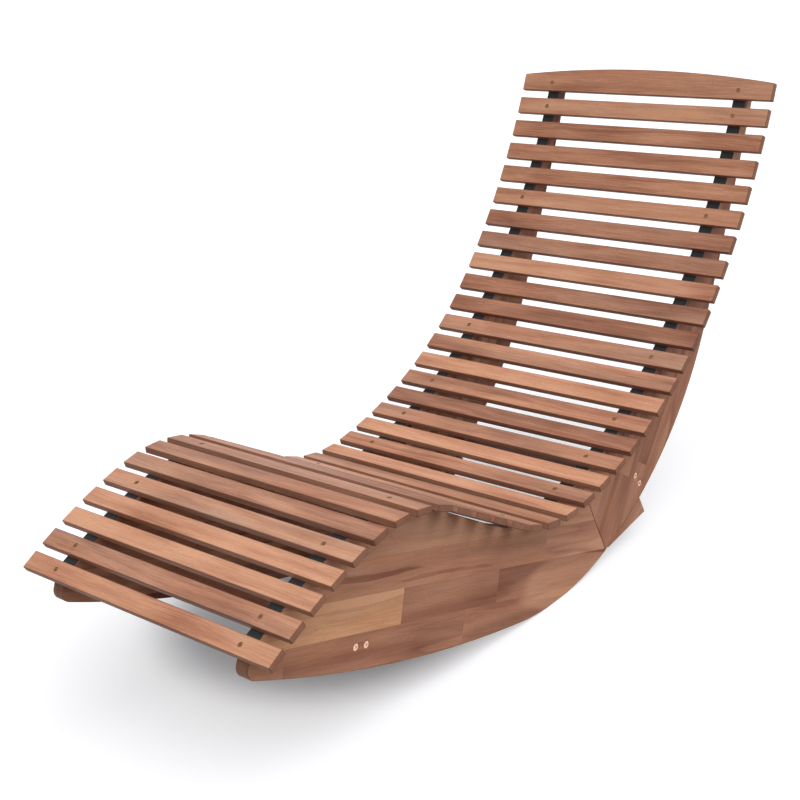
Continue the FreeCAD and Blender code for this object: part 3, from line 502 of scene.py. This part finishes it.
    # How much darker each face is: the ends fully, the long edges by a share
    end_and_edge_darkening = add(tree, "ShaderNodeMath", facing[1], LONG_EDGE_SHARE, facing[0],
                 operation="MULTIPLY_ADD").outputs[0]
    mat = add(tree, "GeometryNodeJoinGeometry")
    for index, slat in enumerate(kinds):
        slat = add(tree, "GeometryNodeStoreNamedAttribute", slat, None, "grain", spot,
                   data_type="FLOAT_VECTOR", domain="POINT").outputs[0]
        for mark, value in (("end_grain", end_and_edge_darkening), ("arris", arris)):
            slat = add(tree, "GeometryNodeStoreNamedAttribute", slat, None, mark, value,
                       data_type="FLOAT", domain="FACE").outputs[0]
        same = add(tree, "FunctionNodeCompare", kind, float(index), data_type="FLOAT", operation="EQUAL")
        placed = add(tree, "GeometryNodeInstanceOnPoints", size["Geometry"], same.outputs[0], slat,
                     named={"Rotation": turn})
        tree.links.new(placed.outputs[0], mat.inputs[0])
    solid = add(tree, "GeometryNodeRealizeInstances", mat.outputs[0]).outputs[0]
    solid = add(tree, "GeometryNodeSetMaterial", solid, None, size["Wood"]).outputs[0]
    add(tree, "NodeGroupOutput", solid)
    return tree


slats = grow("slats", slat_points(), slat_tree(), SLAT_SIZES)
crisp(slats)
belongs(slats, "acacia_slats", *[slat_name(number) for number in range(1, SLAT_COUNT + 1)])


# Side panels: boards glued edge to edge from staves, then cut to their curved outline

STAVE_WIDTH = 60 * MM
# Where no plan gives a row's butt joints: how far from the row's start the first one lies, how long the next
# staves are, and the shortest piece left at the row's end
FIRST_BUTT = (60 * MM, 330 * MM)
STAVE_LENGTHS = (200 * MM, 420 * MM)
SHORTEST_STAVE = 70 * MM
STAVE_TONES = (0.22, 0.58)
STAVE_BLUSH = 0.5
# Vertices of a CAD node that lie this close are one, and a cut takes those this close to it
SAME_PLACE = 0.005 * MM
ON_THE_CUT = 0.001 * MM
# A face that looks less to the side than this belongs to the panel's edge
EDGE_FACE = 0.05


def glue_up(name, node, lean, first_line, seed, planned=None, wood=PANEL_WOOD):
    """The node's solid as a board glued from staves that run at a lean in the YZ plane, in degrees. The first
    line is a glue line's height across the staves, in mm. A plan gives a row's butt joints, as distances
    along the staves in mm, and its staves' tones. Rows without one are drawn from the seed."""
    draw = random.Random(seed)
    along = Vector((0.0, math.cos(math.radians(lean)), math.sin(math.radians(lean))))
    across = Vector((0.0, -along.z, along.y))
    solid = bmesh.new()
    solid.from_mesh(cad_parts[node].data)
    bmesh.ops.remove_doubles(solid, verts=solid.verts, dist=SAME_PLACE)

    def row_at(height):
        return math.floor((height - first_line * MM) / STAVE_WIDTH)

    heights = [vertex.co.dot(across) for vertex in solid.verts]
    first_row = row_at(min(heights))
    last_row = row_at(max(heights))
    for row in range(first_row + 1, last_row + 1):
        glue_line = across * (first_line * MM + row * STAVE_WIDTH)
        everything = solid.verts[:] + solid.edges[:] + solid.faces[:]
        bmesh.ops.bisect_plane(solid, geom=everything, dist=ON_THE_CUT, plane_co=glue_line, plane_no=across)

    butts, tones, boards = {}, {}, {}
    for row in range(first_row, last_row + 1):
        middles = [face.calc_center_median() for face in solid.faces]
        spots = [middle.dot(along) for middle in middles if row_at(middle.dot(across)) == row]
        if planned and row in planned:
            butts[row] = [place * MM for place in planned[row][0]]
            tones[row] = list(planned[row][1])
        else:
            butts[row] = []
            place = min(spots, default=0.0) + draw.uniform(*FIRST_BUTT)
            while place < max(spots, default=0.0) - SHORTEST_STAVE:
                butts[row].append(place)
                place += draw.uniform(*STAVE_LENGTHS)
            tones[row] = [draw.uniform(*STAVE_TONES) for stave in range(len(butts[row]) + 1)]
        boards[row] = [Vector([draw.uniform(0.0, LOG_SIZE) for axis in range(3)])
                       for stave in range(len(butts[row]) + 1)]
        for place in butts[row]:
            faces = [face for face in solid.faces if row_at(face.calc_center_median().dot(across)) == row]
            edges = {edge for face in faces for edge in face.edges}
            verts = {vertex for face in faces for vertex in face.verts}
            bmesh.ops.bisect_plane(solid, geom=list(verts) + list(edges) + faces, dist=ON_THE_CUT,
                                   plane_co=along * place, plane_no=along)
    mesh = bpy.data.meshes.new(name)
    solid.to_mesh(mesh)
    solid.free()
    mesh.materials.clear()
    mesh.materials.append(wood)
    face_tones, face_boards = [], []
    for face in mesh.polygons:
        face.material_index = 0
        row = min(max(row_at(face.center.dot(across)), first_row), last_row)
        stave = sum(face.center.dot(along) > place for place in butts[row])
        face_tones.append(tones[row][stave])
        face_boards.append(boards[row][stave])
    keep(mesh, "grain", "POINT", [(v.co.dot(along), v.co.dot(across), v.co.x) for v in mesh.vertices])
    keep(mesh, "board", "FACE", face_boards)
    keep(mesh, "tone", "FACE", face_tones)
    keep(mesh, "blush", "FACE", [STAVE_BLUSH] * len(face_tones))
    keep(mesh, "end_grain", "FACE", [abs(face.normal.dot(along)) ** 2 for face in mesh.polygons])
    # Faces of the eased edges, also along the seams between panels: the wood darkens these as painted shade
    keep(mesh, "arris", "FACE",
         [float(EDGE_FACE < abs(face.normal.x) < SQUARE_ENOUGH) for face in mesh.polygons])
    board = new_piece(name, mesh)
    crisp(board, angle=30.0)
    belongs(board, "acacia_panels", node)


# The near base panel's staves, as in the photo: by row, butt joints in mm and tones from the foot end
NEAR_BASE_PLAN = {
    -1: ([-706, -284], [0.64, 0.52, 0.54]),
    0: ([-448, -200], [0.985, 0.46, 0.31]),
    1: ([-71], [0.66, 0.68]),
    2: ([-60], [0.80, 0.70]),
    3: ([-330], [0.76, 0.76]),
}
BASE_LEAN, BACK_LEAN, TAIL_LEAN = -19.5, 52.0, 28.0
glue_up("right_base", "right_base_panel", BASE_LEAN, first_line=16.6, seed=21, planned=NEAR_BASE_PLAN,
        wood=NEAR_BASE_WOOD)
glue_up("left_base", "left_base_panel", BASE_LEAN, first_line=30.0, seed=22)
glue_up("right_back", "right_back_panel", BACK_LEAN, first_line=8.0, seed=23)
glue_up("left_back", "left_back_panel", BACK_LEAN, first_line=22.0, seed=24)
glue_up("right_tail", "right_tail_block", TAIL_LEAN, first_line=200.0, seed=25)
glue_up("left_tail", "left_tail_block", TAIL_LEAN, first_line=200.0, seed=26)


# Straps: flat woven webbing under the slats, over each rocker

# How far apart the yarns lie: warp ends across the strap, picks along it
WARP_ENDS = 1.4 * MM
PICKS = 1.0 * MM
YARN_RELIEF = 0.3 * MM
WEAVE_STRENGTH = 0.6
# Fuzz is finer than the yarn: drawn in patches as wide as a pick, where it dulls the sheen
FUZZ_PER_METRE = 900.0
WEBBING_ROUGHNESS = 0.55
FUZZ_ROUGHNESS = 0.25


def black_webbing():
    """Polypropylene webbing, woven: near black, with ribs across it that catch a dull sheen. The colour is
    lighter on the ribs' crests and darker in the hollows: painted sheen and painted shade.
    """
    material, tree, shader = new_material("black_woven_webbing")
    along = add(tree, "ShaderNodeAttribute", attribute_name="along").outputs["Fac"]
    across = add(tree, "ShaderNodeSeparateXYZ", add(tree, "ShaderNodeTexCoord").outputs["Object"]).outputs[0]
    spot = add(tree, "ShaderNodeCombineXYZ", across, along, 0.0).outputs[0]
    # Picks step by half a pick at each warp end
    ends = add(tree, "ShaderNodeMath", across, 1 / WARP_ENDS, operation="MULTIPLY").outputs[0]
    step = add(tree, "ShaderNodeMath", ends, operation="FLOOR").outputs[0]
    step = add(tree, "ShaderNodeMath", step, 0.5, operation="MULTIPLY").outputs[0]
    picks = add(tree, "ShaderNodeMath", along, 1 / PICKS, step, operation="MULTIPLY_ADD").outputs[0]
    waves = []
    for phase in (ends, picks):
        turn = add(tree, "ShaderNodeMath", phase, math.pi, operation="MULTIPLY").outputs[0]
        turn = add(tree, "ShaderNodeMath", turn, operation="SINE").outputs[0]
        waves.append(add(tree, "ShaderNodeMath", turn, operation="ABSOLUTE").outputs[0])
    weave = add(tree, "ShaderNodeMath", *waves, operation="MULTIPLY").outputs[0]
    fuzz = add(tree, "ShaderNodeTexNoise", spot, None, FUZZ_PER_METRE, 2.0).outputs[0]
    # Lighter on the weave's crests and darker in its hollows: painted sheen and painted shade
    colour = add(tree, "ShaderNodeMix", weave, data_type="RGBA",
                 named={6: linear("#08090C"), 7: linear("#1B1E25")}).outputs[2]
    tree.links.new(colour, shader.inputs["Base Color"])
    rough = add(tree, "ShaderNodeMath", fuzz, FUZZ_ROUGHNESS, WEBBING_ROUGHNESS,
                operation="MULTIPLY_ADD").outputs[0]
    tree.links.new(rough, shader.inputs["Roughness"])
    bump = add(tree, "ShaderNodeBump",
               named={"Strength": WEAVE_STRENGTH, "Distance": YARN_RELIEF, "Height": weave})
    tree.links.new(bump.outputs[0], shader.inputs["Normal"])
    return material


# A little thinner than its CAD solid, to lie clear of the slats
STRAP_SIZES = {"Strap width": 28 * MM, "Strap thickness": 1.9 * MM, "Edge rounding": 0.8 * MM,
               "Step": 3 * MM, "Webbing": black_webbing()}
# How far the strap's middle lies under the slats
STRAP_DROP = 1.05 * MM
# How far it reaches before the first slat's middle and past the last one's
FOOT_REACH = 12 * MM
HEAD_REACH = 8 * MM
# It lies flat this far to both sides of each slat's middle
FLAT_REACH = 16 * MM
# Steps round each of its rounded edges
WEBBING_STEPS = 3


def strap_path(across):
    """The strap lies flat against each slat's underside and runs straight between them."""
    depth = SLAT_SIZES["Thickness"] + STRAP_DROP
    points = []
    for index, (seat, lean) in enumerate(SLAT_SEATS):
        along = Vector((0.0, math.cos(lean), math.sin(lean)))
        up = Vector((0.0, -along.z, along.y))
        back = FOOT_REACH if index == 0 else FLAT_REACH
        ahead = HEAD_REACH if index == SLAT_COUNT - 1 else FLAT_REACH
        for shift in (-back, ahead):
            points.append(seat - up * depth + along * shift + Vector((across, 0.0, 0.0)))
    mesh = bpy.data.meshes.new("strap_path")
    mesh.from_pydata(points, [(index, index + 1) for index in range(len(points) - 1)], [])
    return mesh


def strap_tree():
    """A ribbon with rounded edges along the path, which keeps how far along it each place lies."""
    tree, size = new_tree("strap", STRAP_SIZES)
    path = add(tree, "GeometryNodeMeshToCurve", size["Geometry"]).outputs[0]
    path = add(tree, "GeometryNodeResampleCurve", path, None, None, size["Step"], mode="LENGTH").outputs[0]
    path = add(tree, "GeometryNodeSetCurveNormal", path, None, (1.0, 0.0, 0.0), mode="FREE").outputs[0]
    length = add(tree, "GeometryNodeSplineParameter").outputs["Length"]
    path = add(tree, "GeometryNodeStoreNamedAttribute", path, None, "along", length, data_type="FLOAT",
               domain="POINT").outputs[0]
    outline = add(tree, "GeometryNodeCurvePrimitiveQuadrilateral", size["Strap width"],
                  size["Strap thickness"]).outputs[0]
    outline = add(tree, "GeometryNodeFilletCurve", outline, WEBBING_STEPS, size["Edge rounding"],
                  mode="POLY").outputs[0]
    strap = add(tree, "GeometryNodeCurveToMesh", path, outline, named={"Fill Caps": True}).outputs[0]
    strap = add(tree, "GeometryNodeRealizeInstances", strap).outputs[0]
    strap = add(tree, "GeometryNodeSetMaterial", strap, None, size["Webbing"]).outputs[0]
    add(tree, "NodeGroupOutput", strap)
    return tree


STRAP_TREE = strap_tree()
for side, across in (("left", -SLAT_SIZES["Screw spread"] / 2), ("right", SLAT_SIZES["Screw spread"] / 2)):
    strap = grow(side + "_webbing", strap_path(across), STRAP_TREE, STRAP_SIZES)
    crisp(strap, angle=50.0)
    belongs(strap, "black_webbing", side + "_strap")


# Metal

# How much rougher the dull patches are than the bright metal
WEAR_ROUGHNESS = 0.15


def turned_metal(name, bright, dull, patch_mm, rough):
    """Plated steel with the faint wear of handling: bright metal, with patches of a given size that are
    duller. Where the dull colour is much darker, as on the screws, these patches are painted shade."""
    material, tree, shader = new_material(name)
    spot = add(tree, "ShaderNodeTexCoord").outputs["Object"]
    patches = add(tree, "ShaderNodeTexNoise", spot, None, 1 / (patch_mm * MM), 3.0, 0.6).outputs[0]
    colour = add(tree, "ShaderNodeMix", patches, data_type="RGBA",
                 named={6: linear(dull), 7: linear(bright)}).outputs[2]
    tree.links.new(colour, shader.inputs["Base Color"])
    shader.inputs["Metallic"].default_value = 1.0
    gloss = add(tree, "ShaderNodeMath", patches, WEAR_ROUGHNESS, rough, operation="MULTIPLY_ADD").outputs[0]
    tree.links.new(gloss, shader.inputs["Roughness"])
    return material


# Slat screws: countersunk, with a cross recess

# They are sunk a little below the slats' faces. The countersink is wider than the head, so a dark ring shows
# round each one, as in the photo. The countersink's walls are also darkened with painted shade, like the
# slats' eased edges
SCREW_SIZES = {"Sunk": 1.1 * MM, "Head radius": 3.8 * MM, "Head height": 2.4 * MM, "Shank radius": 2.0 * MM,
               "Length": 36 * MM, "Recess width": 1.2 * MM, "Recess length": 4.8 * MM,
               "Recess depth": 1.5 * MM,
               # The dull colour is dark brown, far darker than worn plating: painted shade on the heads
               "Plating": turned_metal("brass_plated_screws", bright="#C09660", dull="#5A3E28",
                                       patch_mm=3.0, rough=0.35)}
HEAD_SIDES, SHANK_SIDES = 24, 12
# The shank's tip, as a share of its radius
TIP = 0.3
SCREW_SEED = 31


def screw_points():
    """One point for each screw, on its slat's face, with the slat's lean and the screw's own twist."""
    points = []
    for number in SCREWED_SLATS:
        seat, lean = SLAT_SEATS[number - 1]
        for side in (-0.5, 0.5):
            points.append((seat + Vector((SLAT_SIZES["Screw spread"] * side, 0.0, 0.0)), lean))
    draw = random.Random(SCREW_SEED)
    mesh = bpy.data.meshes.new("screw_points")
    mesh.from_pydata([place for place, lean in points], [], [])
    keep(mesh, "lean", "POINT", [lean for place, lean in points])
    keep(mesh, "twist", "POINT", [draw.uniform(0.0, math.pi / 2) for point in points])
    return mesh


def screw_tree():
    """Each point gets a screw, driven to its own twist."""
    tree, size = new_tree("slat_screws", SCREW_SIZES)

    def lowered(shape, depth):
        drop = add(tree, "ShaderNodeMath", depth, -1.0, operation="MULTIPLY").outputs[0]
        drop = add(tree, "ShaderNodeCombineXYZ", 0.0, 0.0, drop).outputs[0]
        return add(tree, "GeometryNodeTransform", shape, named={"Translation": drop}).outputs[0]

    head = add(tree, "GeometryNodeMeshCone", HEAD_SIDES, 1, 1, size["Head radius"], size["Shank radius"],
               size["Head height"]).outputs[0]
    neck = add(tree, "ShaderNodeMath", size["Head height"], size["Sunk"], operation="ADD").outputs[0]
    shank_length = add(tree, "ShaderNodeMath", size["Length"], neck, operation="SUBTRACT").outputs[0]
    tip = add(tree, "ShaderNodeMath", size["Shank radius"], TIP, operation="MULTIPLY").outputs[0]
    shank = add(tree, "GeometryNodeMeshCone", SHANK_SIDES, 1, 1, size["Shank radius"], tip,
                shank_length).outputs[0]
    body = add(tree, "GeometryNodeJoinGeometry", lowered(head, neck))
    tree.links.new(lowered(shank, size["Length"]), body.inputs[0])
    # The cross stands half out of the head
    cross = add(tree, "GeometryNodeJoinGeometry")
    deep = add(tree, "ShaderNodeMath", size["Recess depth"], 2.0, operation="MULTIPLY").outputs[0]
    for x_side, y_side in (("Recess length", "Recess width"), ("Recess width", "Recess length")):
        arm = add(tree, "ShaderNodeCombineXYZ", size[x_side], size[y_side], deep).outputs[0]
        tree.links.new(add(tree, "GeometryNodeMeshCube", arm).outputs[0], cross.inputs[0])
    screw = add(tree, "GeometryNodeMeshBoolean", operation="DIFFERENCE", solver="EXACT")
    tree.links.new(body.outputs[0], screw.inputs[0])
    tree.links.new(lowered(cross.outputs[0], size["Sunk"]), screw.inputs[1])
    screw.inputs["Self Intersection"].default_value = True
    lean = add(tree, "GeometryNodeInputNamedAttribute", "lean", data_type="FLOAT").outputs[0]
    twist = add(tree, "GeometryNodeInputNamedAttribute", "twist", data_type="FLOAT").outputs[0]
    driven = add(tree, "ShaderNodeCombineXYZ", 0.0, 0.0, twist).outputs[0]
    driven = add(tree, "FunctionNodeEulerToRotation", driven).outputs[0]
    leant = add(tree, "ShaderNodeCombineXYZ", lean, 0.0, 0.0).outputs[0]
    leant = add(tree, "FunctionNodeEulerToRotation", leant).outputs[0]
    screws = add(tree, "GeometryNodeInstanceOnPoints", size["Geometry"], None, screw.outputs[0],
                 named={"Rotation": leant}).outputs[0]
    screws = add(tree, "GeometryNodeRotateInstances", screws, None, driven,
                 named={"Local Space": True}).outputs[0]
    screws = add(tree, "GeometryNodeRealizeInstances", screws).outputs[0]
    screws = add(tree, "GeometryNodeSetMaterial", screws, None, size["Plating"]).outputs[0]
    add(tree, "NodeGroupOutput", screws)
    return tree


screws = grow("brass_screws", screw_points(), screw_tree(), SCREW_SIZES)
crisp(screws)
belongs(screws, "brass_screws", "slat_screws")


# Finishes of the pieces that keep their CAD shape

# Short flecks, 3 mm long and just under 1 mm wide
BEECH_FLECKS_PER_METRE = (300.0, 1200.0, 1200.0)


def turned_beech():
    """Turned beech: pale pinkish wood with short brown flecks."""
    material, tree, shader = new_material("turned_beech")
    spot = add(tree, "ShaderNodeTexCoord").outputs["Object"]
    flecks = add(tree, "ShaderNodeMapping", spot, None, None, BEECH_FLECKS_PER_METRE).outputs[0]
    flecks = add(tree, "ShaderNodeTexNoise", flecks, None, 1.0, 3.0).outputs[0]
    colour = add(tree, "ShaderNodeMix", flecks, data_type="RGBA",
                 named={6: linear("#B98A62"), 7: linear("#DDB98F")}).outputs[2]
    tree.links.new(colour, shader.inputs["Base Color"])
    shader.inputs["Roughness"].default_value = 0.6
    return material


FINISHES = {
    "stretcher_bolts": turned_metal("yellow_zinc_bolts", bright="#F2D2BA", dull="#C9A084", patch_mm=2.0,
                                    rough=0.25),
    "barrel_nuts": turned_metal("zinc_barrel_nuts", bright="#C8C6C0", dull="#97948D", patch_mm=2.0,
                                rough=0.35),
    "seam_dowels": turned_beech(),
    "front_stretcher": STRETCHER_WOOD,
    "rear_stretcher": STRETCHER_WOOD,
}
for node, material in FINISHES.items():
    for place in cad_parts[node].material_slots:
        place.material = material


# Room: a pale floor, soft light from above, white all round

FLOOR_HALF = 15.0
FLOOR_PAPER = "#E4E4E8"
# What the floor sends back up to the wood, which is little, as in the photo
FLOOR_BOUNCE = "#3C342E"
# The floor's own glow, least where the shadow lies and most far from it, where the floor goes white.
# The dip in the glow is a painted shadow, over the shadow that the lamps cast
FLOOR_GLOW = (0.05, 0.42)
# The painted shadow's oval: its middle, its half size, and the shares of that between which the glow rises
PAINTED_SHADOW_CENTRE = (-0.14, -0.26, 0.0)
PAINTED_SHADOW_HALF = (0.34, 0.30, 1.0)
PAINTED_SHADOW_REACH = (0.70, 1.15)
ROOM_LIGHT = 0.15
# Name, strength, spread in degrees and the way its light goes. The overhead one is wide enough to blur the
# slats' shadows on the panels
LAMPS = (
    ("overhead_softbox", 2.92, 88.0, (-0.58, 0.10, -1.0)),
    ("front_softbox", 0.35, 60.0, (-0.55, 0.42, -0.50)),
)


def seen_itself(tree):
    """1 where the camera, a mirror or glass shows the surface itself, and 0 where it only lights others."""
    path = add(tree, "ShaderNodeLightPath").outputs
    seen = add(tree, "ShaderNodeMath", path["Is Camera Ray"], path["Is Glossy Ray"],
               operation="MAXIMUM").outputs[0]
    return add(tree, "ShaderNodeMath", seen, path["Is Transmission Ray"], operation="MAXIMUM").outputs[0]


def pale_floor():
    """Matt white paper. To the camera it is part glow, so that it is white and still keeps the shadow. The
    glow dips in an oval under the chaise, which paints a shadow there.
    """
    material, tree, shader = new_material("white_paper_floor")
    shader.inputs["Base Color"].default_value = linear(FLOOR_PAPER)
    shader.inputs["Roughness"].default_value = 1.0
    shader.inputs["Specular IOR Level"].default_value = 0.0
    spot = add(tree, "ShaderNodeTexCoord").outputs["Object"]
    away = add(tree, "ShaderNodeVectorMath", spot, PAINTED_SHADOW_CENTRE, operation="SUBTRACT").outputs[0]
    away = add(tree, "ShaderNodeVectorMath", away, PAINTED_SHADOW_HALF, operation="DIVIDE").outputs[0]
    away = add(tree, "ShaderNodeVectorMath", away, operation="LENGTH").outputs["Value"]
    # The glow dips inside the oval: a painted shadow
    glow = add(tree, "ShaderNodeMapRange", away, *PAINTED_SHADOW_REACH, *FLOOR_GLOW,
               interpolation_type="SMOOTHSTEP").outputs[0]
    glow = add(tree, "ShaderNodeEmission", linear("#FFFFFF"), glow).outputs[0]
    paper = add(tree, "ShaderNodeAddShader", shader.outputs[0], glow).outputs[0]
    bounce = add(tree, "ShaderNodeBsdfDiffuse", linear(FLOOR_BOUNCE)).outputs[0]
    both = add(tree, "ShaderNodeMixShader", seen_itself(tree), bounce, paper).outputs[0]
    output = next(node for node in tree.nodes if node.type == "OUTPUT_MATERIAL")
    tree.links.new(both, output.inputs[0])
    return material


def lay_floor():
    mesh = bpy.data.meshes.new("floor")
    far = FLOOR_HALF
    mesh.from_pydata([(-far, -far, 0), (far, -far, 0), (far, far, 0), (-far, far, 0)], [], [(0, 1, 2, 3)])
    mesh.materials.append(pale_floor())
    new_piece("floor", mesh)


def light_room():
    """A world that is white to look at and lights softly, and the two softboxes."""
    world = bpy.data.worlds.new("studio")
    bpy.context.scene.world = world
    world.use_nodes = True
    tree = world.node_tree
    tree.nodes.clear()
    soft = add(tree, "ShaderNodeBackground", linear("#FFFFFF"), ROOM_LIGHT).outputs[0]
    white = add(tree, "ShaderNodeBackground", linear("#FFFFFF"), 1.0).outputs[0]
    both = add(tree, "ShaderNodeMixShader", seen_itself(tree), soft, white).outputs[0]
    add(tree, "ShaderNodeOutputWorld", both)
    for name, strength, spread, way in LAMPS:
        lamp = bpy.data.lights.new(name, "SUN")
        lamp.energy = strength
        lamp.angle = math.radians(spread)
        softbox = bpy.data.objects.new(name, lamp)
        softbox.rotation_euler = Vector(way).to_track_quat("-Z", "Y").to_euler()
        bpy.context.scene.collection.objects.link(softbox)


lay_floor()
light_room()
bpy.context.scene.view_settings.view_transform = "Standard"
